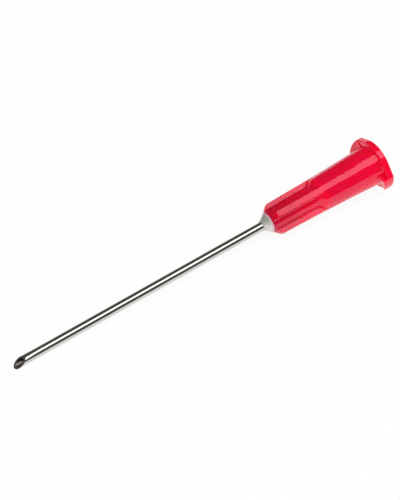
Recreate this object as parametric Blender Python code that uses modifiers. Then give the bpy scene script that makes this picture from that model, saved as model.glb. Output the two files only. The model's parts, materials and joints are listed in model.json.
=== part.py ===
"""Drawing-up needle: a steel cannula with a blunt bevel, bonded into a moulded hub with a tapered socket.

Metres, +Z up. The needle lies on the floor z = 0 as it comes to rest, on its flange ring and its
tip, with the tip towards -X. Each piece is modelled along the needle's own axis, and one empty
lays them all down. Along that axis z = 0 is the hub's nose face, +z runs to the syringe end, and
+x is the side that ends up on top. Angles about the axis run from +x towards +y.
"""

import math

import bmesh
import bpy
from mathutils import Matrix, Vector

MM = 0.001

# Cannula, size 1.2 x 40 mm
TUBE_RADIUS = 0.625 * MM
TUBE_WALL = 0.205 * MM
TUBE_EXPOSED = 39.1 * MM
TUBE_SEATED = 6.0 * MM
BEVEL_ANGLE = math.radians(37.0)
BEVEL_TURN = math.radians(5.0)

# Clearances between the pieces
SEAT_GAP = 0.02 * MM
BOND_GAP = 0.02 * MM

# Hub, inside: glue well, seat, ledge, channel, funnel and tapered socket, from the nose to the rear
WELL_WIDTH = 0.645 * MM
WELL_FLOOR_WIDTH = 0.325 * MM
WELL_DEPTH = 1.8 * MM
LEDGE_THICKNESS = 0.5 * MM
CHANNEL_MARGIN = 0.03 * MM
FUNNEL_LENGTH = 2.28 * MM
FUNNEL_STEP = 0.64 * MM
SOCKET_MOUTH_RADIUS = 2.157 * MM
SOCKET_TAPER = 0.06
SOCKET_DEPTH = 9.0 * MM
SOCKET_CHAMFER = 0.15 * MM

# Hub, outside: nose, core, S-shaped shoulder, sleeve and flange ring
NOSE_WALL = 0.23 * MM
NOSE_ROUND = 0.20 * MM
CORE_DRAFT = 0.10 * MM
SHOULDER_LENGTH = 1.1 * MM
SHOULDER_SWELL = 0.55
SLEEVE_LEAD = 0.85 * MM
SLEEVE_FRONT_WALL = 0.46 * MM
SLEEVE_REAR_WALL = 0.69 * MM
RING_RISE = 0.50 * MM
RING_WIDTH = 0.88 * MM
RING_FILLET = 0.15 * MM
EDGE_BREAK = 0.06 * MM

# Ribs along the core
RIB_COUNT = 4
RIB_TURN = math.radians(24.8)
RIB_THICKNESS = 0.86 * MM
RIB_RISE = 0.71 * MM
RIB_SLOPE = 0.020
RIB_SLANT = 0.70 * MM

# Lock lugs
LUG_COUNT = 2
LUG_TURN = math.radians(100.3)
LUG_RISE = 0.55 * MM
LUG_HALF_ANGLE = math.radians(18.5)
LUG_RAMP = 0.54 * MM
THREAD_LEAD = 5.0 * MM

# Adhesive
FILLET_LENGTH = 1.15 * MM
FILLET_HOLLOW = 1.25
FILLET_EDGE = 0.02 * MM

# Sizes that follow from these
TUBE_BORE = TUBE_RADIUS - TUBE_WALL
WELL_RADIUS = TUBE_RADIUS + WELL_WIDTH
WELL_FLOOR_RADIUS = TUBE_RADIUS + WELL_FLOOR_WIDTH
NOSE_RADIUS = WELL_RADIUS + NOSE_WALL
SEAT_LEDGE = TUBE_SEATED + SEAT_GAP
CHANNEL_END = SEAT_LEDGE + LEDGE_THICKNESS
SOCKET_END = CHANNEL_END + FUNNEL_LENGTH
SOCKET_END_RADIUS = SOCKET_MOUTH_RADIUS - SOCKET_TAPER / 2 * SOCKET_DEPTH
HUB_LENGTH = SOCKET_END + SOCKET_DEPTH
SLEEVE_FRONT = SOCKET_END - SLEEVE_LEAD
SLEEVE_FRONT_RADIUS = SOCKET_END_RADIUS + SLEEVE_FRONT_WALL
SLEEVE_REAR_RADIUS = SOCKET_MOUTH_RADIUS + SLEEVE_REAR_WALL
CORE_LENGTH = SLEEVE_FRONT - SHOULDER_LENGTH
RING_RADIUS = SLEEVE_REAR_RADIUS + RING_RISE
RING_FRONT = HUB_LENGTH - RING_WIDTH
LUG_RADIUS = RING_RADIUS + LUG_RISE

# Fineness of the facets
HUB_SEGMENTS = 60
TUBE_SEGMENTS = 48
ARC_STEPS = 5
LUG_STEPS = 8
RUN_OUT_STEP = 0.1 * MM
CUT_PAST = 1.0 * MM
MERGE = 1e-6


def clear_scene():
    for obj in list(bpy.data.objects):
        bpy.data.objects.remove(obj, do_unlink=True)


def new_collection(name):
    collection = bpy.data.collections.new(name)
    bpy.context.scene.collection.children.link(collection)
    return collection


def finish_material(name, colour, roughness, metallic=0.0, transmission=0.0):
    material = bpy.data.materials.new(name)
    material.use_nodes = True
    shader = material.node_tree.nodes["Principled BSDF"]
    shader.inputs["Base Color"].default_value = (*colour, 1.0)
    shader.inputs["Roughness"].default_value = roughness
    shader.inputs["Metallic"].default_value = metallic
    shader.inputs["Transmission Weight"].default_value = transmission
    material.diffuse_color = (*colour, 1.0)
    return material


def add_object(name, mesh, collection, axis_empty):
    obj = bpy.data.objects.new(name, mesh)
    collection.objects.link(obj)
    obj.parent = axis_empty
    return obj


def as_helper(obj):
    obj.hide_render = True
    obj.display_type = "WIRE"
    return obj


def arc(centre, radius, start, end, steps=ARC_STEPS):
    """Points (r, z) on an arc, with its angles measured from the +r direction towards +z."""
    points = []
    for i in range(steps + 1):
        angle = start + (end - start) * i / steps
        points.append((centre[0] + radius * math.cos(angle), centre[1] + radius * math.sin(angle)))
    return points


def turned(name, profile, segments, collection, axis_empty, closed):
    """A profile of (r, z) points turned about the axis. It runs down its outer side.

    A facet, and not a corner, faces straight down, so that the piece lies on a flat."""
    first = math.pi / segments
    corners = [(r * math.cos(first), r * math.sin(first), z) for r, z in profile]
    edges = [(i, i + 1) for i in range(len(corners) - 1)]
    if closed:
        edges.append((len(corners) - 1, 0))
    mesh = bpy.data.meshes.new(name)
    mesh.from_pydata(corners, edges, [])
    obj = add_object(name, mesh, collection, axis_empty)
    screw = obj.modifiers.new("turn", "SCREW")
    screw.axis = "Z"
    screw.angle = 2 * math.pi
    screw.steps = segments
    screw.render_steps = segments
    screw.use_merge_vertices = True
    screw.merge_threshold = MERGE
    screw.use_smooth_shade = True
    return obj


def prism(name, outline, thickness, collection, axis_empty):
    """A flat outline of (x, z) points, made thick to both sides of the plane y = 0."""
    mesh = bpy.data.meshes.new(name)
    bm = bmesh.new()
    corners = [bm.verts.new((x, -thickness / 2, z)) for x, z in outline]
    face = bm.faces.new(corners)
    grown = bmesh.ops.extrude_face_region(bm, geom=[face])
    moved = [item for item in grown["geom"] if isinstance(item, bmesh.types.BMVert)]
    bmesh.ops.translate(bm, verts=moved, vec=(0.0, thickness, 0.0))
    bmesh.ops.recalc_face_normals(bm, faces=bm.faces)
    bm.to_mesh(mesh)
    bm.free()
    return add_object(name, mesh, collection, axis_empty)


def lofted(name, sections, collection, axis_empty):
    """A closed solid through a row of four-cornered sections."""
    mesh = bpy.data.meshes.new(name)
    bm = bmesh.new()
    rows = [[bm.verts.new(corner) for corner in section] for section in sections]
    for here, after in zip(rows, rows[1:]):
        for i in range(len(here)):
            k = (i + 1) % len(here)
            bm.faces.new((here[i], here[k], after[k], after[i]))
    bm.faces.new(rows[0])
    bm.faces.new(list(reversed(rows[-1])))
    bmesh.ops.recalc_face_normals(bm, faces=bm.faces)
    bm.to_mesh(mesh)
    bm.free()
    return add_object(name, mesh, collection, axis_empty)


def join_all(obj, name, collection):
    union = obj.modifiers.new(name, "BOOLEAN")
    union.operation = "UNION"
    union.solver = "EXACT"
    union.operand_type = "COLLECTION"
    union.collection = collection


def cut(obj, name, tool):
    difference = obj.modifiers.new(name, "BOOLEAN")
    difference.operation = "DIFFERENCE"
    difference.solver = "EXACT"
    difference.object = tool


def sleeve_radius(z):
    """The sleeve's outer radius, which grows from the shoulder to the ring."""
    share = (z - SLEEVE_FRONT) / (HUB_LENGTH - SLEEVE_FRONT)
    return SLEEVE_FRONT_RADIUS + (SLEEVE_REAR_RADIUS - SLEEVE_FRONT_RADIUS) * share


def core_radius(z):
    return NOSE_RADIUS + CORE_DRAFT * z / CORE_LENGTH


def rib_radius(z):
    return NOSE_RADIUS + RIB_RISE + RIB_SLOPE * z


def hub_outside():
    """The hub without its ribs, lugs and bores, as a profile from the axis at the rear to the nose."""
    foot = sleeve_radius(RING_FRONT)
    edge = RING_RADIUS - EDGE_BREAK
    profile = [(0.0, HUB_LENGTH)]
    profile += arc((edge, HUB_LENGTH - EDGE_BREAK), EDGE_BREAK, math.pi / 2, 0.0, 2)
    profile += arc((edge, RING_FRONT + EDGE_BREAK), EDGE_BREAK, 0.0, -math.pi / 2, 2)
    # The fillet stops short of the ring's edge, also on a low ring
    fillet = min(RING_FILLET, (edge - foot) / 2)
    profile += arc((foot + fillet, RING_FRONT - fillet), fillet, math.pi / 2, math.pi, 3)
    # The shoulder is an S: rounded over at the sleeve and hollow where it runs into the core
    low = core_radius(CORE_LENGTH)
    rise = SLEEVE_FRONT_RADIUS - low
    steps = 2 * ARC_STEPS
    for i in range(steps + 1):
        share = 1.0 - i / steps
        swell = share * share * (3.0 - 2.0 * share)
        height = share + (swell - share) * SHOULDER_SWELL
        profile.append((low + rise * height, CORE_LENGTH + SHOULDER_LENGTH * share))
    profile += arc((NOSE_RADIUS - NOSE_ROUND, NOSE_ROUND), NOSE_ROUND, 0.0, -math.pi / 2, 3)
    profile.append((0.0, 0.0))
    return profile


def hub_inside():
    """All of the hub's bores as one profile: socket, funnel, channel, seat and glue well."""
    mouth = SOCKET_MOUTH_RADIUS + SOCKET_CHAMFER
    channel = TUBE_BORE + CHANNEL_MARGIN
    seat = TUBE_RADIUS + SEAT_GAP
    return [
        (0.0, HUB_LENGTH + CUT_PAST),
        (mouth, HUB_LENGTH + CUT_PAST),
        (mouth, HUB_LENGTH),
        (SOCKET_MOUTH_RADIUS, HUB_LENGTH - SOCKET_CHAMFER),
        (SOCKET_END_RADIUS, SOCKET_END),
        (SOCKET_END_RADIUS - FUNNEL_STEP, SOCKET_END),
        (channel, CHANNEL_END),
        (channel, SEAT_LEDGE),
        (seat, SEAT_LEDGE),
        (seat, WELL_DEPTH),
        (WELL_FLOOR_RADIUS, WELL_DEPTH),
        (WELL_RADIUS, 0.0),
        (WELL_RADIUS, -CUT_PAST),
        (0.0, -CUT_PAST),
    ]


def make_rib(index, collection, axis_empty):
    """One rib: a straight plate that leans back at the nose and runs out over the sleeve."""
    far = SLEEVE_FRONT
    while far < RING_FRONT and math.hypot(rib_radius(far), RIB_THICKNESS / 2) > sleeve_radius(far):
        far += RUN_OUT_STEP
    root = (WELL_FLOOR_RADIUS + NOSE_RADIUS) / 2
    top = NOSE_ROUND + RIB_SLANT
    outline = [
        (root, NOSE_ROUND),
        (NOSE_RADIUS, NOSE_ROUND),
        (rib_radius(top), top),
        (rib_radius(far), far),
        (root, far),
    ]
    rib = prism(f"rib_{index}", outline, RIB_THICKNESS, collection, axis_empty)
    soften = rib.modifiers.new("edges", "BEVEL")
    soften.width = EDGE_BREAK
    soften.segments = 2
    soften.limit_method = "ANGLE"
    soften.angle_limit = math.radians(50)
    rib.rotation_euler = (0.0, 0.0, RIB_TURN + 2 * math.pi * index / RIB_COUNT)
    return as_helper(rib)


def lug_section(angle, radius, front):
    """Four corners of a lug's section at one angle: inside the sleeve's wall, and out to its radius."""
    inner = (SOCKET_MOUTH_RADIUS + sleeve_radius(HUB_LENGTH)) / 2
    across, along = math.cos(angle), math.sin(angle)
    return [
        (inner * across, inner * along, front),
        (radius * across, radius * along, front),
        (radius * across, radius * along, HUB_LENGTH),
        (inner * across, inner * along, HUB_LENGTH),
    ]


def make_lug(index, collection, axis_empty):
    """One lock lug: an ear on the ring, with a ramp before it that follows the collar's thread."""
    spread = math.acos(RING_RADIUS / LUG_RADIUS)
    edge = LUG_HALF_ANGLE + spread
    ear, ramp = [], []
    for i in range(2 * LUG_STEPS + 1):
        angle = -edge + 2 * edge * i / (2 * LUG_STEPS)
        radius = LUG_RADIUS
        if abs(angle) > LUG_HALF_ANGLE:
            radius = RING_RADIUS / math.cos(edge - abs(angle))
        ear.append(lug_section(angle, min(radius, LUG_RADIUS), RING_FRONT))
    for i in range(LUG_STEPS + 1):
        angle = -LUG_HALF_ANGLE + 2 * LUG_HALF_ANGLE * i / LUG_STEPS
        front = RING_FRONT - LUG_RAMP + THREAD_LEAD * angle / (2 * math.pi)
        ramp.append(lug_section(angle, LUG_RADIUS, front))
    for name, sections in (("ear", ear), ("ramp", ramp)):
        solid = lofted(f"{name}_{index}", sections, collection, axis_empty)
        solid.rotation_euler = (0.0, 0.0, LUG_TURN + 2 * math.pi * index / LUG_COUNT)
        as_helper(solid)


def make_hub(parts, added, cutters, axis_empty):
    hub = turned("hub", hub_outside(), HUB_SEGMENTS, parts, axis_empty, closed=False)
    for index in range(RIB_COUNT):
        make_rib(index, added, axis_empty)
    for index in range(LUG_COUNT):
        make_lug(index, added, axis_empty)
    join_all(hub, "ribs_and_lugs", added)
    bores = turned("hub_bores", hub_inside(), HUB_SEGMENTS, cutters, axis_empty, closed=False)
    as_helper(bores)
    cut(hub, "bores", bores)
    hub.data.materials.append(finish_material("hub_red", (0.72, 0.004, 0.035), 0.22, transmission=0.25))
    return hub


def make_cannula(parts, cutters, axis_empty):
    """A steel tube, cut off square at the hub end and at a slant at the tip."""
    profile = [
        (TUBE_RADIUS, TUBE_SEATED),
        (TUBE_RADIUS, -TUBE_EXPOSED),
        (TUBE_BORE, -TUBE_EXPOSED),
        (TUBE_BORE, TUBE_SEATED),
    ]
    cannula = turned("cannula", profile, TUBE_SEGMENTS, parts, axis_empty, closed=True)
    # The bevel's plane passes through the underside of the tip, and the block above it is cut away
    size = 8 * TUBE_RADIUS / math.sin(BEVEL_ANGLE)
    mesh = bpy.data.meshes.new("bevel_block")
    bm = bmesh.new()
    bmesh.ops.create_cube(bm, size=size)
    bmesh.ops.translate(bm, verts=bm.verts, vec=(size / 2, 0.0, 0.0))
    bm.to_mesh(mesh)
    bm.free()
    block = add_object("bevel_block", mesh, cutters, axis_empty)
    turn = Matrix.Rotation(BEVEL_TURN, 4, "Z")
    tip = Matrix.Translation(Vector((-TUBE_RADIUS, 0.0, -TUBE_EXPOSED)))
    lean = Matrix.Rotation(BEVEL_ANGLE, 4, "Y")
    block.matrix_local = turn @ tip @ lean
    as_helper(block)
    cut(cannula, "bevel", block)
    cannula.data.materials.append(finish_material("steel", (0.62, 0.62, 0.60), 0.18, metallic=1.0))
    return cannula


def make_adhesive(parts, axis_empty):
    """The bond: it fills the glue well and creeps forward along the cannula as a hollow fillet."""
    inner = TUBE_RADIUS + BOND_GAP
    well = WELL_RADIUS - BOND_GAP
    taper = (WELL_RADIUS - WELL_FLOOR_RADIUS) / WELL_DEPTH
    floor = WELL_DEPTH - BOND_GAP
    profile = [(inner, floor), (well - taper * floor, floor), (well, 0.0)]
    steps = 2 * ARC_STEPS
    for i in range(1, steps + 1):
        share = i / steps
        radius = inner + FILLET_EDGE + (well - inner - FILLET_EDGE) * (1 - share) ** FILLET_HOLLOW
        profile.append((radius, -FILLET_LENGTH * share))
    profile.append((inner, -FILLET_LENGTH))
    adhesive = turned("adhesive", profile, TUBE_SEGMENTS, parts, axis_empty, closed=True)
    adhesive.data.materials.append(finish_material("clear_bond", (0.78, 0.80, 0.76), 0.25, transmission=0.4))
    return adhesive


def lay_down(axis_empty):
    """Tilts the axis until the ring's front edge and the tip both touch the floor, centred along X."""
    ring = RING_RADIUS * math.cos(math.pi / HUB_SEGMENTS)
    tube = TUBE_RADIUS * math.cos(math.pi / TUBE_SEGMENTS)
    station = RING_FRONT + EDGE_BREAK
    tilt = math.atan2(ring - tube, station + TUBE_EXPOSED)
    height = ring * math.cos(tilt) - station * math.sin(tilt)
    tip_x = -TUBE_EXPOSED * math.cos(tilt) + tube * math.sin(tilt)
    rear_x = HUB_LENGTH * math.cos(tilt) + ring * math.sin(tilt)
    axis_empty.location = (-(tip_x + rear_x) / 2, 0.0, height)
    # The columns of the turn: the empty's x goes up, its y to -Y, and its z along the needle
    up = Vector((-math.sin(tilt), 0.0, math.cos(tilt)))
    along = Vector((math.cos(tilt), 0.0, math.sin(tilt)))
    turn = Matrix((up, along.cross(up), along)).transposed()
    axis_empty.rotation_euler = turn.to_euler()


def smooth_round_faces(objects):
    for obj in objects:
        obj.data.shade_smooth()
        obj.data.set_sharp_from_angle(angle=math.radians(30))


clear_scene()
parts_collection = new_collection("drawing_up_needle")
added_collection = new_collection("hub_additions")
cutter_collection = new_collection("cutters")
needle_axis = bpy.data.objects.new("needle_axis", None)
parts_collection.objects.link(needle_axis)
lay_down(needle_axis)
hub_object = make_hub(parts_collection, added_collection, cutter_collection, needle_axis)
cannula_object = make_cannula(parts_collection, cutter_collection, needle_axis)
adhesive_object = make_adhesive(parts_collection, needle_axis)
smooth_round_faces([hub_object, cannula_object, adhesive_object])
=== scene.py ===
import json
import math

import bpy
import numpy as np
from mathutils import Matrix, Vector


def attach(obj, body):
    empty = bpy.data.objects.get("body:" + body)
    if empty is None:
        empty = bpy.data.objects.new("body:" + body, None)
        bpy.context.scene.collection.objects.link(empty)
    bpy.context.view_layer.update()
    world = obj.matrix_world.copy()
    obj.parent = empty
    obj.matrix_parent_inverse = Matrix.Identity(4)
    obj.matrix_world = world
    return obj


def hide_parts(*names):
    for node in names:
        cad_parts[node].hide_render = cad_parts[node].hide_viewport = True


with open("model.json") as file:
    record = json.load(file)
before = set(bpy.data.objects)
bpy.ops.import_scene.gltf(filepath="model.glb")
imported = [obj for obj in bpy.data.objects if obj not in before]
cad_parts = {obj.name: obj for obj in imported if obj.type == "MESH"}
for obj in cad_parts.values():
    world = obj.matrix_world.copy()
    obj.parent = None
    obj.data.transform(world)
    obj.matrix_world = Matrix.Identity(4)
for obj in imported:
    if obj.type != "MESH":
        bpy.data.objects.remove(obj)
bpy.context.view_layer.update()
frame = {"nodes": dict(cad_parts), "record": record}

MM = 0.001

# The needle as it lies: it is straight, and it rests on its flange ring and on its tip.
# Each piece is made along the needle's own axis, with z = 0 at the hub's nose, +z to the syringe
# end and +x upwards, and is then laid down on the axis that the frame gives.
TUBE_SEATED = 6.0 * MM
END_MARGIN = 0.01 * MM

along = Vector(frame["record"]["mounts"][0]["axis"]).normalized()
up = Vector((-along.z, 0.0, along.x))
tube_points = np.array([vertex.co for vertex in frame["nodes"]["cannula"].data.vertices])
stations = tube_points @ np.array(along)
seated_end = tube_points[stations > stations.max() - END_MARGIN]
nose = Vector((seated_end.min(0) + seated_end.max(0)) / 2) - along * TUBE_SEATED
lie = Matrix((up, along.cross(up), along)).transposed().to_4x4()
lie.translation = nose


# The hub: one moulding in red polypropylene, with a wall of 0.5 to 0.7 mm round a tapered socket.
# Four ribs stiffen its core, an S-shaped shoulder leads to the sleeve, and two lugs on the ring
# screw into a syringe's lock collar. Its outer edges are softened in the mould.
NOSE_RADIUS = 1.50 * MM
NOSE_ROUND = 0.20 * MM
CORE_LENGTH = 6.85 * MM
CORE_DRAFT = 0.10 * MM
SHOULDER_LENGTH = 1.1 * MM
SHOULDER_SWELL = 0.55
SLEEVE_FRONT_RADIUS = 2.347 * MM
SLEEVE_REAR_RADIUS = 2.847 * MM
HUB_LENGTH = 17.8 * MM
RING_RADIUS = 3.347 * MM
RING_WIDTH = 0.88 * MM
RING_FILLET = 0.15 * MM
RING_EDGE = 0.14 * MM
RIB_COUNT = 4
RIB_TURN = math.radians(24.8)
RIB_THICKNESS = 0.86 * MM
RIB_RISE = 0.71 * MM
RIB_SLOPE = 0.020
RIB_SLANT = 0.70 * MM
RIB_EDGE = 0.09 * MM
RIB_BEND = 3 * RIB_EDGE
RIB_FILLET = 0.16 * MM
LUG_COUNT = 2
LUG_TURN = math.radians(100.3)
LUG_RADIUS = 3.897 * MM
LUG_HALF_ANGLE = math.radians(18.5)
LUG_FLANK_DRAFT = math.radians(1.0)
LUG_RAMP = 0.54 * MM
THREAD_LEAD = 5.0 * MM
SOCKET_MOUTH_RADIUS = 2.157 * MM
SOCKET_CHAMFER = 0.15 * MM
SOCKET_END_RADIUS = 1.887 * MM
SOCKET_END = 8.8 * MM
FUNNEL_RADIUS = 1.247 * MM
CHANNEL_RADIUS = 0.45 * MM
CHANNEL_END = 6.52 * MM
SEAT_LEDGE = 6.02 * MM
SEAT_RADIUS = 0.645 * MM
WELL_RADIUS = 1.27 * MM
WELL_FLOOR_RADIUS = 0.95 * MM
WELL_DEPTH = 1.8 * MM

SLEEVE_FRONT = CORE_LENGTH + SHOULDER_LENGTH
RING_FRONT = HUB_LENGTH - RING_WIDTH

# How finely the hub's skin is drawn. Each stretch of rows has its start, end and step in mm from
# the nose, and the columns are in degrees, those of a rib or a lug counted from its middle.
ROW_STRETCHES = (
    (0.26, 1.2, 0.06),
    (1.3, 6.8, 0.3),
    (6.75, 8.1, 0.06),
    (8.16, 11.0, 0.12),
    (11.4, 14.5, 0.4),
)
LAST_PLAIN_ROW = 14.6 * MM
SLEEVE_ROWS = 6
RING_ROWS = 4
EDGE_ROWS = 6
COLUMN_STEP = 1.5
RIB_COLUMNS = np.append(np.arange(8.5, 17.6, 0.25), np.arange(18.0, 24.1, 1.0))
RIB_COLUMN_MARGIN = 0.5
LUG_COLUMN_STEP = 0.4
LUG_COLUMN_COUNT = 4
CLOSEST_COLUMNS = 0.15
HALVINGS = 26


def softer_of(a, b, blend):
    """The lower of two heights, with a rounded turn where they meet."""
    overlap = np.clip(1.0 - np.abs(a - b) / blend, 0.0, 1.0)
    return np.minimum(a, b) - blend * overlap * overlap / 4


def turned_radius(z):
    """The hub's outside without ribs, ring and lugs."""
    core = NOSE_RADIUS + CORE_DRAFT * z / CORE_LENGTH
    depth = np.clip(NOSE_ROUND - z, 0.0, NOSE_ROUND)
    core = core - NOSE_ROUND + np.sqrt(NOSE_ROUND ** 2 - depth ** 2)
    share = np.clip((z - CORE_LENGTH) / SHOULDER_LENGTH, 0.0, 1.0)
    swell = share * share * (3.0 - 2.0 * share)
    height = share + (swell - share) * SHOULDER_SWELL
    low = NOSE_RADIUS + CORE_DRAFT
    shoulder = low + (SLEEVE_FRONT_RADIUS - low) * height
    slope = (SLEEVE_REAR_RADIUS - SLEEVE_FRONT_RADIUS) / (HUB_LENGTH - SLEEVE_FRONT)
    sleeve = SLEEVE_FRONT_RADIUS + slope * (z - SLEEVE_FRONT)
    return np.where(z < CORE_LENGTH, core, np.where(z < SLEEVE_FRONT, shoulder, sleeve))


def nearest_copy(angles, turn, count):
    """Angles measured from the middle of the nearest of several like features round the axis."""
    pitch = 2 * math.pi / count
    return (angles - turn + pitch / 2) % pitch - pitch / 2


def rib_top(z):
    """Height of the ribs' flat tops over the axis, slanted down to the nose."""
    slant = NOSE_RADIUS + (z - NOSE_ROUND) * RIB_RISE / RIB_SLANT
    return softer_of(slant, NOSE_RADIUS + RIB_RISE + RIB_SLOPE * z, RIB_BEND)


def along_ribs(angles, z):
    """The angles of one row, shifted so that the columns keep to the ribs' edges as these rise."""
    turn = nearest_copy(angles, RIB_TURN, RIB_COUNT)
    edge = RIB_THICKNESS / 2
    height = np.maximum(rib_top(z), NOSE_RADIUS)
    factor = np.arcsin(edge / height) / math.asin(edge / rib_top(SLEEVE_FRONT))
    share = min(1.0, (LAST_PLAIN_ROW - z) / CORE_LENGTH)
    near = 1.0 - (turn * RIB_COUNT / math.pi) ** 2
    return angles + turn * (factor - 1.0) * share * near


def ribbed_radius(angles, z):
    """The outside with its ribs: the radius at which each ray from the axis leaves the plastic."""
    turn = nearest_copy(angles, RIB_TURN, RIB_COUNT)
    top = rib_top(z)
    body = turned_radius(z)
    inside = np.full_like(body, NOSE_RADIUS / 2)
    outside = np.full_like(body, RING_RADIUS)
    for _ in range(HALVINGS):
        radius = (inside + outside) / 2
        over_top = radius * np.cos(turn) - top + RIB_EDGE
        over_side = np.abs(radius * np.sin(turn)) - RIB_THICKNESS / 2 + RIB_EDGE
        corner = np.hypot(np.maximum(over_top, 0.0), np.maximum(over_side, 0.0))
        from_rib = corner + np.minimum(np.maximum(over_top, over_side), 0.0) - RIB_EDGE
        from_body = radius - body
        near_rib = np.maximum(RIB_FILLET - from_rib, 0.0)
        near_body = np.maximum(RIB_FILLET - from_body, 0.0)
        nearest = np.maximum(np.minimum(from_rib, from_body), RIB_FILLET)
        distance = nearest - np.hypot(near_rib, near_body)
        inside = np.where(distance < 0.0, radius, inside)
        outside = np.where(distance < 0.0, outside, radius)
    return (inside + outside) / 2


def apart(angle, middle):
    """Degrees between two directions round the axis."""
    return abs((angle - middle + 180.0) % 360.0 - 180.0)


def hub_angles():
    """Angles round the hub, closer together at the ribs' sides and at the lugs' ends."""
    angles = set(np.arange(0.0, 360.0, COLUMN_STEP))
    first = RIB_COLUMNS[0] - RIB_COLUMN_MARGIN
    last = RIB_COLUMNS[-1] + RIB_COLUMN_MARGIN
    for index in range(RIB_COUNT):
        middle = math.degrees(RIB_TURN) + 360.0 * index / RIB_COUNT
        angles = {angle for angle in angles if not first < apart(angle, middle) < last}
        angles |= {(middle + side * step) % 360.0 for side in (-1, 1) for step in RIB_COLUMNS}
    lug_end = math.degrees(LUG_HALF_ANGLE)
    lug_columns = [lug_end + math.degrees(LUG_FLANK_DRAFT)]
    lug_columns += [lug_end - LUG_COLUMN_STEP * index for index in range(LUG_COLUMN_COUNT)]
    for index in range(LUG_COUNT):
        middle = math.degrees(LUG_TURN) + 360.0 * index / LUG_COUNT
        angles = {angle for angle in angles if abs(apart(angle, middle) - lug_end) > COLUMN_STEP}
        angles |= {(middle + side * step) % 360.0 for side in (-1, 1) for step in lug_columns}
    angles = sorted(angles)
    following = angles[1:] + [angles[0] + 360.0]
    kept = [angle for angle, after in zip(angles, following) if after - angle > CLOSEST_COLUMNS]
    return np.radians(kept)


def row_of_points(angles, radius, z):
    """One row round the axis, with a radius and a place along it for each point or for all."""
    radius = np.broadcast_to(radius, angles.shape)
    z = np.broadcast_to(z, angles.shape)
    return np.stack([radius * np.cos(angles), radius * np.sin(angles), z], axis=-1)


def hub_rows():
    """Rows of points round the hub: along its outside from the nose to the rear, and back inside."""
    angles = hub_angles()
    from_lug = nearest_copy(angles, LUG_TURN, LUG_COUNT)
    spread = math.acos(RING_RADIUS / LUG_RADIUS)
    past = np.clip(LUG_HALF_ANGLE + spread - np.abs(from_lug), 0.0, spread)
    rim = softer_of(RING_RADIUS / np.cos(past), np.full_like(past, LUG_RADIUS), RING_EDGE)
    ramp = RING_FRONT - LUG_RAMP + THREAD_LEAD * from_lug / (2 * math.pi)
    off_ramp = np.clip((np.abs(from_lug) - LUG_HALF_ANGLE) / LUG_FLANK_DRAFT, 0.0, 1.0)
    wall = ramp + (RING_FRONT - ramp) * off_ramp
    foot = wall - RING_FILLET
    quarter_turn = np.linspace(0.0, math.pi / 2, EDGE_ROWS + 1)
    rows = []

    def add(radius, z, columns=angles):
        rows.append(row_of_points(columns, radius, z))

    places = [NOSE_ROUND * (1 - math.cos(turn)) for turn in quarter_turn]
    for start, end, step in ROW_STRETCHES:
        places += list(np.arange(start, end, step) * MM)
    for z in places:
        columns = along_ribs(angles, z)
        add(ribbed_radius(columns, np.full_like(columns, z)), z, columns)
    for share in np.linspace(0.0, 1.0, SLEEVE_ROWS + 1):
        z = LAST_PLAIN_ROW + (foot - LAST_PLAIN_ROW) * share
        add(turned_radius(z), z)
    for turn in quarter_turn[1:]:
        z = foot + RING_FILLET * math.sin(turn)
        add(turned_radius(z) + RING_FILLET * (1 - math.cos(turn)), z)
    for turn in quarter_turn:
        add(rim - RING_EDGE * (1 - math.sin(turn)), wall + RING_EDGE * (1 - math.cos(turn)))
    for share in np.linspace(0.0, 1.0, RING_ROWS + 1)[1:-1]:
        add(rim, wall + RING_EDGE + (HUB_LENGTH - 2 * RING_EDGE - wall) * share)
    for turn in quarter_turn:
        add(rim - RING_EDGE * (1 - math.cos(turn)), HUB_LENGTH - RING_EDGE * (1 - math.sin(turn)))
    inside = [
        (SOCKET_MOUTH_RADIUS + SOCKET_CHAMFER, HUB_LENGTH),
        (SOCKET_MOUTH_RADIUS, HUB_LENGTH - SOCKET_CHAMFER),
        (SOCKET_END_RADIUS, SOCKET_END),
        (FUNNEL_RADIUS, SOCKET_END),
        (CHANNEL_RADIUS, CHANNEL_END),
        (CHANNEL_RADIUS, SEAT_LEDGE),
        (SEAT_RADIUS, SEAT_LEDGE),
        (SEAT_RADIUS, WELL_DEPTH),
        (WELL_FLOOR_RADIUS, WELL_DEPTH),
        (WELL_RADIUS, 0.0),
    ]
    for radius, z in inside:
        add(radius, z)
    return np.array(rows)


def skin(name, rows, sharp_from):
    """A closed skin through rows that each go once round the axis, and from the last to the first."""
    count, around = rows.shape[:2]
    faces = []
    for row in range(count):
        here = row * around
        there = (row + 1) % count * around
        for left in range(around):
            right = (left + 1) % around
            faces.append((here + left, here + right, there + right, there + left))
    mesh = bpy.data.meshes.new(name)
    mesh.from_pydata(rows.reshape(-1, 3).tolist(), [], faces)
    mesh.shade_smooth()
    mesh.set_sharp_from_angle(angle=math.radians(sharp_from))
    piece = bpy.data.objects.new(name, mesh)
    bpy.context.scene.collection.objects.link(piece)
    piece.matrix_world = lie
    return piece


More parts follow.
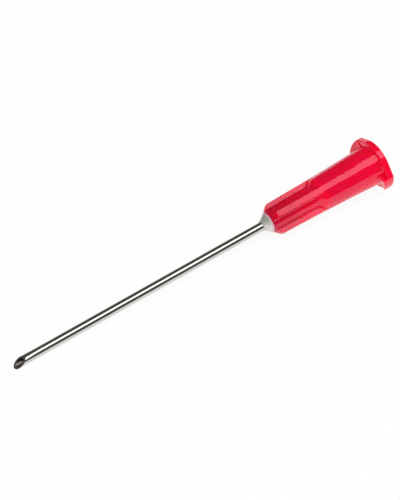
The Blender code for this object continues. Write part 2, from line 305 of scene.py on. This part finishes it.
def unevenness_group():
    """Uneven spots or, where the scale along z is lower, streaks that run along the needle."""
    group = bpy.data.node_groups.new("unevenness", "ShaderNodeTree")
    for name, value in (("Scale across", 400.0), ("Scale along", 400.0), ("Detail", 3.0)):
        socket = group.interface.new_socket(name, in_out="INPUT", socket_type="NodeSocketFloat")
        socket.default_value = value
    group.interface.new_socket("Value", in_out="OUTPUT", socket_type="NodeSocketFloat")
    nodes, links = group.nodes, group.links
    given, out = nodes.new("NodeGroupInput"), nodes.new("NodeGroupOutput")
    place = nodes.new("ShaderNodeTexCoord")
    scales = nodes.new("ShaderNodeCombineXYZ")
    stretched = nodes.new("ShaderNodeVectorMath")
    stretched.operation = "MULTIPLY"
    noise = nodes.new("ShaderNodeTexNoise")
    noise.inputs["Scale"].default_value = 1.0
    links.new(given.outputs["Scale across"], scales.inputs["X"])
    links.new(given.outputs["Scale across"], scales.inputs["Y"])
    links.new(given.outputs["Scale along"], scales.inputs["Z"])
    links.new(place.outputs["Object"], stretched.inputs[0])
    links.new(scales.outputs["Vector"], stretched.inputs[1])
    links.new(stretched.outputs["Vector"], noise.inputs["Vector"])
    links.new(given.outputs["Detail"], noise.inputs["Detail"])
    links.new(noise.outputs["Fac"], out.inputs["Value"])
    return group


unevenness = unevenness_group()


def uneven(material, across, lengthwise, detail=3.0):
    """One copy of the unevenness in a material, with its own scales per metre."""
    node = material.node_tree.nodes.new("ShaderNodeGroup")
    node.node_tree = unevenness
    node.inputs["Scale across"].default_value = across
    node.inputs["Scale along"].default_value = lengthwise
    node.inputs["Detail"].default_value = detail
    return node.outputs["Value"]


def between(material, value, start, end):
    """A value stretched from one range to another, and held at the ends of it."""
    node = material.node_tree.nodes.new("ShaderNodeMapRange")
    for name, number in zip(("From Min", "From Max", "To Min", "To Max"), (*start, *end)):
        node.inputs[name].default_value = number
    material.node_tree.links.new(value, node.inputs["Value"])
    return node.outputs["Result"]


def maths(material, operation, first, second):
    """Two values put together, such as their sum or the greater of them."""
    node = material.node_tree.nodes.new("ShaderNodeMath")
    node.operation = operation
    material.node_tree.links.new(first, node.inputs[0])
    material.node_tree.links.new(second, node.inputs[1])
    return node.outputs["Value"]


def colour_mix(owner, share, first, second):
    """A colour between two, for a material or the room. Either may be the result of another mix."""
    node = owner.node_tree.nodes.new("ShaderNodeMix")
    node.data_type = "RGBA"
    for name, colour in (("A", first), ("B", second)):
        if isinstance(colour, tuple):
            node.inputs[name].default_value = (*colour, 1.0)
        else:
            owner.node_tree.links.new(colour, node.inputs[name])
    owner.node_tree.links.new(share, node.inputs["Factor"])
    return node.outputs["Result"]


def bump(material, height, distance, below=None):
    """Relief on the surface, added to other relief where that is given."""
    node = material.node_tree.nodes.new("ShaderNodeBump")
    node.inputs["Distance"].default_value = distance
    material.node_tree.links.new(height, node.inputs["Height"])
    if below is not None:
        material.node_tree.links.new(below, node.inputs["Normal"])
    return node.outputs["Normal"]


def along_needle(material):
    """Distance from the hub's nose along the needle's axis, growing to the syringe end."""
    place = material.node_tree.nodes.new("ShaderNodeTexCoord")
    parts = material.node_tree.nodes.new("ShaderNodeSeparateXYZ")
    material.node_tree.links.new(place.outputs["Object"], parts.inputs["Vector"])
    return parts.outputs["Z"]


def new_material(name, **sockets):
    """A Principled material with plain socket values, ready for its texture links."""
    material = bpy.data.materials.new(name)
    material.use_nodes = True
    shader = material.node_tree.nodes["Principled BSDF"]
    for socket, value in sockets.items():
        shader.inputs[socket.replace("_", " ")].default_value = value
    return material


def finish(material, colour, roughness, normal):
    """Links a material's colour, roughness and relief to its shader."""
    shader = material.node_tree.nodes["Principled BSDF"]
    for socket, value in (("Base Color", colour), ("Roughness", roughness), ("Normal", normal)):
        material.node_tree.links.new(value, shader.inputs[socket])


# Its finish: glossy, with fine dimples, long ripples and faint flow lines from the moulding. The
# scales of unevenness are per metre, across and along the needle.
# The red is painted lighter from the core to the sleeve: a painted glow of the light that passes the
# sleeve's thin wall. The flow lines mixed into it are real.
HUB_RED = (0.61, 0.001, 0.027)
HUB_RED_SLEEVE_GLOW = (0.85, 0.001, 0.042)
HUB_GLOSS = (1.0, 0.8, 1.0)
HUB_GLOW = (1.0, 0.08, 0.16)
HUB_GLOW_REACH = 1.6 * MM
HUB_ROUGHNESS = (0.05, 0.10)
SLEEVE_GLOW_START = 3.0 * MM
SLEEVE_GLOW_SHARE = 0.8
NOISE_MIDDLE = (0.3, 0.7)
FLOW_LINES = (900.0, 120.0)
FLOW_CONTRAST = (0.35, 0.65)
HUB_HAZE = (2600.0, 2600.0)
DIMPLES = (5200.0, 5200.0)
DIMPLE_DEPTH = 0.0008 * MM
RIPPLES = (1500.0, 150.0)
RIPPLE_DEPTH = 0.0015 * MM


def sleeve_glow_and_flow_lines(material):
    """From 0 on the solid core to 1 on the thin sleeve, a painted glow of the light that passes its
    wall, with the real flow lines added.
    """
    stretch = (SLEEVE_GLOW_START, SLEEVE_FRONT)
    wall = between(material, along_needle(material), stretch, (0.0, SLEEVE_GLOW_SHARE))
    flow_share = 1.0 - SLEEVE_GLOW_SHARE
    flow = between(material, uneven(material, *FLOW_LINES), FLOW_CONTRAST, (0.0, flow_share))
    return maths(material, "ADD", wall, flow)


hub_plastic = new_material(
    "red_polypropylene",
    Subsurface_Weight=1.0,
    Subsurface_Radius=HUB_GLOW,
    Subsurface_Scale=HUB_GLOW_REACH,
    IOR=1.5,
    Specular_IOR_Level=0.68,
    Specular_Tint=(*HUB_GLOSS, 1.0),
)
dimples = bump(hub_plastic, uneven(hub_plastic, *DIMPLES), DIMPLE_DEPTH)
finish(
    hub_plastic,
    colour_mix(hub_plastic, sleeve_glow_and_flow_lines(hub_plastic), HUB_RED, HUB_RED_SLEEVE_GLOW),
    between(hub_plastic, uneven(hub_plastic, *HUB_HAZE), NOISE_MIDDLE, HUB_ROUGHNESS),
    bump(hub_plastic, uneven(hub_plastic, *RIPPLES), RIPPLE_DEPTH, dimples),
)

hub = skin("needle_hub", hub_rows(), 50.0)
hub.data.materials.append(hub_plastic)
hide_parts("hub")
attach(hub, "root")


# The cannula: a drawn tube of stainless steel, 1.25 mm across, polished along its length.
# Its end is ground to a short blunt bevel, and its other end is bonded into the hub's nose.
TUBE_RADIUS = 0.625 * MM
TUBE_BORE = 0.42 * MM
TUBE_EXPOSED = 39.1 * MM
TUBE_COLUMNS = 128
TUBE_ROWS = 24
BEVEL_ANGLE = math.radians(37.0)
BEVEL_TURN = math.radians(5.0)
BEVEL_EDGE = 0.02 * MM
BEVEL_EDGE_MIDDLE = 0.3 * BEVEL_EDGE


def tube_rows():
    """Rows along the tube's outside from the bevel to the seated end, and back along the bore."""
    angles = np.linspace(0.0, 2 * math.pi, TUBE_COLUMNS, endpoint=False)

    def ground(radius):
        rise = radius * np.cos(angles - BEVEL_TURN) + TUBE_RADIUS
        return -TUBE_EXPOSED + rise / math.tan(BEVEL_ANGLE)

    front = ground(TUBE_RADIUS)
    side_start = front + BEVEL_EDGE
    bore_start = ground(TUBE_BORE) + BEVEL_EDGE
    shares = np.linspace(0.0, 1.0, TUBE_ROWS + 1)
    rows = [
        row_of_points(angles, TUBE_RADIUS - BEVEL_EDGE, ground(TUBE_RADIUS - BEVEL_EDGE)),
        row_of_points(angles, TUBE_RADIUS - BEVEL_EDGE_MIDDLE, front + BEVEL_EDGE_MIDDLE),
    ]
    for share in shares:
        rows.append(row_of_points(angles, TUBE_RADIUS, side_start + (TUBE_SEATED - side_start) * share))
    for share in shares:
        rows.append(row_of_points(angles, TUBE_BORE, TUBE_SEATED + (bore_start - TUBE_SEATED) * share))
    rows.append(row_of_points(angles, TUBE_BORE + BEVEL_EDGE, ground(TUBE_BORE + BEVEL_EDGE)))
    return np.array(rows)


STEEL = (0.70, 0.69, 0.665)
STEEL_DULL = (0.58, 0.57, 0.55)
# The bore's dark steel colour is painted shade inside the hollow tube. Its duller roughness is real.
STEEL_BORE_SHADE = (0.24, 0.23, 0.22)
STEEL_ROUGHNESS = (0.07, 0.13)
INSIDE_ROUGHNESS = 0.42
DRAWN_LINES = (9000.0, 160.0)
DRAWN_LINE_DEPTH = 0.002 * MM
STEEL_HAZE = (3000.0, 500.0)


def inside_bore(material):
    """1 on the wall of the bore, which the drawing leaves duller and which is darkened with painted
    shade inside the hollow, and 0 on the polished outside.
    """
    nodes, links = material.node_tree.nodes, material.node_tree.links
    place = nodes.new("ShaderNodeTexCoord")
    across = nodes.new("ShaderNodeVectorMath")
    across.operation = "MULTIPLY"
    across.inputs[1].default_value = (1.0, 1.0, 0.0)
    radius = nodes.new("ShaderNodeVectorMath")
    radius.operation = "LENGTH"
    links.new(place.outputs["Object"], across.inputs[0])
    links.new(across.outputs["Vector"], radius.inputs[0])
    rim = (TUBE_BORE + BEVEL_EDGE / 2, TUBE_BORE + BEVEL_EDGE)
    return between(material, radius.outputs["Value"], rim, (1.0, 0.0))


def value_mix(material, share, first, second):
    """A value between one that varies over the surface and a plain one."""
    node = material.node_tree.nodes.new("ShaderNodeMix")
    material.node_tree.links.new(share, node.inputs["Factor"])
    material.node_tree.links.new(first, node.inputs["A"])
    node.inputs["B"].default_value = second
    return node.outputs["Result"]


steel = new_material("drawn_stainless_steel", Metallic=1.0)
bore = inside_bore(steel)
drawn = uneven(steel, *DRAWN_LINES, detail=4.0)
polished = colour_mix(steel, between(steel, drawn, NOISE_MIDDLE, (0.0, 1.0)), STEEL_DULL, STEEL)
haze = between(steel, uneven(steel, *STEEL_HAZE), NOISE_MIDDLE, STEEL_ROUGHNESS)
finish(
    steel,
    colour_mix(steel, bore, polished, STEEL_BORE_SHADE),
    value_mix(steel, bore, haze, INSIDE_ROUGHNESS),
    bump(steel, drawn, DRAWN_LINE_DEPTH),
)

cannula = skin("steel_cannula", tube_rows(), 30.0)
cannula.data.materials.append(steel)
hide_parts("cannula")
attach(cannula, "root")


# The bond: clear resin that fills the hub's well round the cannula. Before it cures it creeps
# forward along the steel as a hollow cone, and its foot spreads over the nose's rounded rim.
BOND_GAP = 0.02 * MM
BOND_LIFT = 0.005 * MM
BOND_LENGTH = 1.15 * MM
BOND_HOLLOW = 1.25
BOND_EDGE = 0.02 * MM
BOND_FOOT_RADIUS = 1.44 * MM
BOND_WANDER = 0.10 * MM
BOND_WAVES = ((0.3, 2, 0.7), (0.2, 5, 2.0))
BOND_COLUMNS = 96
BOND_ROWS = 16


def bond_rows():
    """Rows over the resin's free surface from its front edge to the well, and back inside the hub."""
    angles = np.linspace(0.0, 2 * math.pi, BOND_COLUMNS, endpoint=False)
    inner = TUBE_RADIUS + BOND_GAP
    outer = WELL_RADIUS - BOND_GAP
    floor = WELL_DEPTH - BOND_GAP
    floor_radius = outer - (WELL_RADIUS - WELL_FLOOR_RADIUS) * floor / WELL_DEPTH
    past_flat = BOND_FOOT_RADIUS - (NOSE_RADIUS - NOSE_ROUND)
    foot = NOSE_ROUND - math.sqrt(NOSE_ROUND ** 2 - past_flat ** 2) - BOND_GAP
    wander = 0.5 + sum(size * np.sin(waves * angles + shift) for size, waves, shift in BOND_WAVES)
    reach = BOND_LENGTH - BOND_WANDER * wander
    start = inner + BOND_EDGE
    rows = [row_of_points(angles, inner, -reach)]
    for share in np.linspace(0.0, 1.0, BOND_ROWS + 1):
        radius = start + (BOND_FOOT_RADIUS - start) * share ** BOND_HOLLOW
        rows.append(row_of_points(angles, radius, -reach * (1 - share) + foot * share))
    rows.append(row_of_points(angles, (outer + BOND_FOOT_RADIUS) / 2, -BOND_LIFT))
    rows.append(row_of_points(angles, outer, -BOND_LIFT))
    rows.append(row_of_points(angles, floor_radius, floor))
    rows.append(row_of_points(angles, inner, floor))
    return np.array(rows)


# The resin's colours are painted reflections. It is dark grey-green on its upper side, where it mirrors
# the dim room, and pale on its lower side, where it mirrors the white table.
RESIN = (0.42, 0.43, 0.385)
RESIN_TABLE_REFLECTION = (0.93, 0.88, 0.86)
RESIN_RED_GLOW = (1.0, 0.50, 0.58)
RESIN_ROUGHNESS = (0.12, 0.24)
RED_GLOW_LENGTH = 0.26 * MM
LOWER_SIDE = Vector((-0.57, 0.82, 0.0))
LOWER_SIDE_RANGE = (-0.45 * MM, 0.85 * MM)
REFLECTION_PATCHES = (1400.0, 1400.0)
REFLECTION_PATCH_SHIFT = (-0.12 * MM, 0.12 * MM)
RESIN_HAZE = (2500.0, 2500.0)
RESIN_WAVES = (1800.0, 1800.0)
RESIN_WAVE_DEPTH = 0.01 * MM


def table_reflection_share(material):
    """0 on the upper side, with painted reflection of the dim room, and 1 on the lower side facing the
    camera, with painted reflection of the white table, along a patchy edge.
    """
    nodes, links = material.node_tree.nodes, material.node_tree.links
    place = nodes.new("ShaderNodeTexCoord")
    down = nodes.new("ShaderNodeVectorMath")
    down.operation = "DOT_PRODUCT"
    down.inputs[1].default_value = LOWER_SIDE
    links.new(place.outputs["Object"], down.inputs[0])
    patches = between(material, uneven(material, *REFLECTION_PATCHES), NOISE_MIDDLE, REFLECTION_PATCH_SHIFT)
    total = maths(material, "ADD", down.outputs["Value"], patches)
    return between(material, total, LOWER_SIDE_RANGE, (0.0, 1.0))


def near_hub(material):
    """0 on the free cone, rising to 1 at its foot, with a painted red glow where the hub's red light
    shines into the resin.
    """
    return between(material, along_needle(material), (-RED_GLOW_LENGTH, 0.0), (0.0, 1.0))


resin = new_material(
    "clear_resin",
    Subsurface_Weight=0.5,
    Subsurface_Radius=(1.0, 1.0, 0.9),
    Subsurface_Scale=0.3 * MM,
    Transmission_Weight=0.25,
    IOR=1.5,
)
# Painted reflections: the dim room on the upper side, the white table on the lower side.
room_and_table_reflection = colour_mix(resin, table_reflection_share(resin), RESIN, RESIN_TABLE_REFLECTION)
finish(
    resin,
    # Painted red glow of the hub's light near the resin's foot.
    colour_mix(resin, near_hub(resin), room_and_table_reflection, RESIN_RED_GLOW),
    between(resin, uneven(resin, *RESIN_HAZE), NOISE_MIDDLE, RESIN_ROUGHNESS),
    bump(resin, uneven(resin, *RESIN_WAVES), RESIN_WAVE_DEPTH),
)

bond = skin("resin_bond", bond_rows(), 50.0)
bond.data.materials.append(resin)
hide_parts("adhesive")
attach(bond, "root")


# The table: a white board, shown nearly as bright as the background, so that they meet without
# an edge. It keeps a faint shadow under the needle.
TABLE_SIZE = 1.2
TABLE_CORNERS = ((-1, -1), (1, -1), (1, 1), (-1, 1))
TABLE_WHITE = (0.90, 0.90, 0.90)
TABLE_WHITEST = (0.91, 0.91, 0.91)
TABLE_CLOUDS = (60.0, 60.0)
TABLE_GLOW_SHARE = 0.92

mesh = bpy.data.meshes.new("table")
corners = [(x * TABLE_SIZE / 2, y * TABLE_SIZE / 2, 0.0) for x, y in TABLE_CORNERS]
mesh.from_pydata(corners, [], [(0, 1, 2, 3)])
table = bpy.data.objects.new("table", mesh)
bpy.context.scene.collection.objects.link(table)


def seen_directly(material):
    """1 for rays from the camera, and for what metal and clear pieces show of the surroundings."""
    path = material.node_tree.nodes.new("ShaderNodeLightPath")
    total = path.outputs["Is Camera Ray"]
    for name in ("Is Glossy Ray", "Is Transmission Ray"):
        total = maths(material, "MAXIMUM", total, path.outputs[name])
    return total


board = new_material("white_board", Roughness=0.9, Specular_IOR_Level=0.1)
nodes, links = board.node_tree.nodes, board.node_tree.links
shader = nodes["Principled BSDF"]
clouds = between(board, uneven(board, *TABLE_CLOUDS), NOISE_MIDDLE, (0.0, 1.0))
glow = nodes.new("ShaderNodeEmission")
share = nodes.new("ShaderNodeMath")
share.operation = "MULTIPLY"
share.inputs[1].default_value = TABLE_GLOW_SHARE
blend = nodes.new("ShaderNodeMixShader")
links.new(colour_mix(board, clouds, TABLE_WHITE, TABLE_WHITEST), shader.inputs["Base Color"])
links.new(seen_directly(board), share.inputs[0])
links.new(share.outputs["Value"], blend.inputs["Fac"])
links.new(shader.outputs["BSDF"], blend.inputs[1])
links.new(glow.outputs["Emission"], blend.inputs[2])
links.new(blend.outputs["Shader"], nodes["Material Output"].inputs["Surface"])
table.data.materials.append(board)


# The light: one large softbox over the needle, a little on the camera's side, in a softly lit
# room. Reflections show the room dim, so that the box draws bright bands on steel and plastic.
BOX_DISTANCE = 0.50
BOX_LEFT_ANGLE = math.radians(-4.0)
BOX_RIGHT_ANGLE = math.radians(38.0)
BOX_LENGTH = 1.1
BOX_AHEAD = 0.19
BOX_POWER = 2.5
ROOM_SOFT = (0.45, 0.45, 0.45)
ROOM_MIRRORED = (0.085, 0.078, 0.068)
BACKDROP_WHITE = (1.0, 1.0, 1.0)

lamp = bpy.data.lights.new("softbox", "AREA")
lamp.shape = "RECTANGLE"
middle = (BOX_LEFT_ANGLE + BOX_RIGHT_ANGLE) / 2
lamp.size = BOX_LENGTH
lamp.size_y = 2 * BOX_DISTANCE * math.tan((BOX_RIGHT_ANGLE - BOX_LEFT_ANGLE) / 2)
lamp.energy = BOX_POWER
softbox = bpy.data.objects.new("softbox", lamp)
bpy.context.scene.collection.objects.link(softbox)
softbox.location = (BOX_AHEAD, -BOX_DISTANCE * math.sin(middle), BOX_DISTANCE * math.cos(middle))
softbox.rotation_euler = (-middle, 0.0, 0.0)

world = bpy.data.worlds.new("room")
bpy.context.scene.world = world
world.use_nodes = True
nodes, links = world.node_tree.nodes, world.node_tree.links
room = nodes["Background"]
backdrop = nodes.new("ShaderNodeBackground")
backdrop.inputs["Color"].default_value = (*BACKDROP_WHITE, 1.0)
path = nodes.new("ShaderNodeLightPath")
surround = colour_mix(world, path.outputs["Is Glossy Ray"], ROOM_SOFT, ROOM_MIRRORED)
blend = nodes.new("ShaderNodeMixShader")
links.new(surround, room.inputs["Color"])
links.new(path.outputs["Is Camera Ray"], blend.inputs["Fac"])
links.new(room.outputs["Background"], blend.inputs[1])
links.new(backdrop.outputs["Background"], blend.inputs[2])
links.new(blend.outputs["Shader"], nodes["World Output"].inputs["Surface"])
bpy.context.scene.view_settings.view_transform = "Standard"


# The fill panel: it stands on the camera's side, beyond the tip. It lifts the colours and the
# shadow, and it's kept out of reflections.
FILL_SIZE = 0.9
FILL_PLACE = Vector((-0.40, -0.66, 0.20))
FILL_POWER = 3.2

panel = bpy.data.lights.new("fill_panel", "AREA")
panel.size = FILL_SIZE
panel.energy = FILL_POWER
fill = bpy.data.objects.new("fill_panel", panel)
bpy.context.scene.collection.objects.link(fill)
fill.location = FILL_PLACE
fill.rotation_mode = "QUATERNION"
fill.rotation_quaternion = FILL_PLACE.to_track_quat("Z", "Y")
fill.visible_glossy = False


# The camera: it looks down at the needle from the tip's side, from about 28 cm away, with a long
# lens. It aims beside the cannula, a centimetre from the hub's nose, and shows the whole needle.
CAMERA_AZIMUTH = math.radians(-34.31)
CAMERA_ELEVATION = math.radians(50.0)
CAMERA_DISTANCE = 275.0 * MM
CAMERA_RIGHT = -8.96 * MM
CAMERA_UP = -3.59 * MM
CAMERA_CLIP = 10.0 * MM
IMAGE_HEIGHT = 500
FOCAL_PIXELS = 2096.0

camera_data = bpy.data.cameras.new("camera")
camera = bpy.data.objects.new("camera", camera_data)
bpy.context.scene.collection.objects.link(camera)
looking = Vector((
    math.sin(-CAMERA_AZIMUTH) * math.cos(CAMERA_ELEVATION),
    math.cos(CAMERA_AZIMUTH) * math.cos(CAMERA_ELEVATION),
    -math.sin(CAMERA_ELEVATION),
))
right = Vector((math.cos(CAMERA_AZIMUTH), math.sin(CAMERA_AZIMUTH), 0.0))
upward = right.cross(looking)
camera.location = nose - looking * CAMERA_DISTANCE + right * CAMERA_RIGHT + upward * CAMERA_UP
camera.rotation_mode = "QUATERNION"
camera.rotation_quaternion = looking.to_track_quat("-Z", "Y")
camera_data.lens = FOCAL_PIXELS * camera_data.sensor_width / IMAGE_HEIGHT
camera_data.clip_start = CAMERA_CLIP
bpy.context.scene.camera = camera
